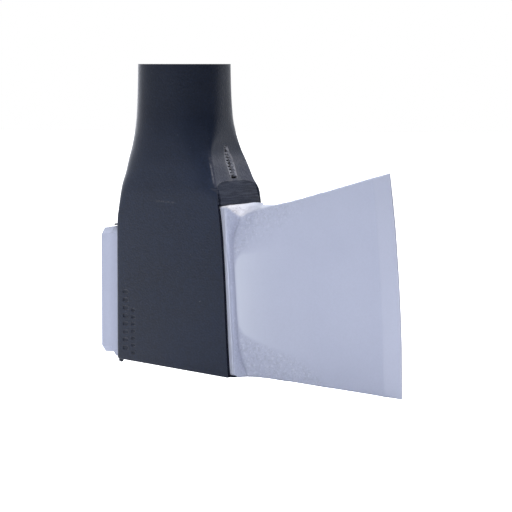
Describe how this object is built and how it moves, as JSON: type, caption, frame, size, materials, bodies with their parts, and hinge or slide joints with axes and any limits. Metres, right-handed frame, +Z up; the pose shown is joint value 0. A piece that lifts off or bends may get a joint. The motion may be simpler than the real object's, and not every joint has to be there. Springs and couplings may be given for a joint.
{
  "type": "hatchet",
  "caption": "Small hatchet: a forged steel head with a flat poll and a ground wedge blade, held in a hollow dark plastic handle moulded round the head.",
  "frame": {"origin": "on the handle's axis, on the end face of the head", "axes": "+Z up the handle from the head to the butt, +X towards the cutting edge, +Y across the thickness"},
  "size_m": [0.1019, 0.0292, 0.3629],
  "materials": {
    "steel": "pale grey satin, blasted and ground",
    "handle_plastic": "fine matt, glass-filled nylon",
    "plug_plastic": "matt"
  },
  "bodies": {
    "root": {"head": "steel", "handle_shell": "handle_plastic", "butt_plug": "plug_plastic"}
  },
  "joints": []
}
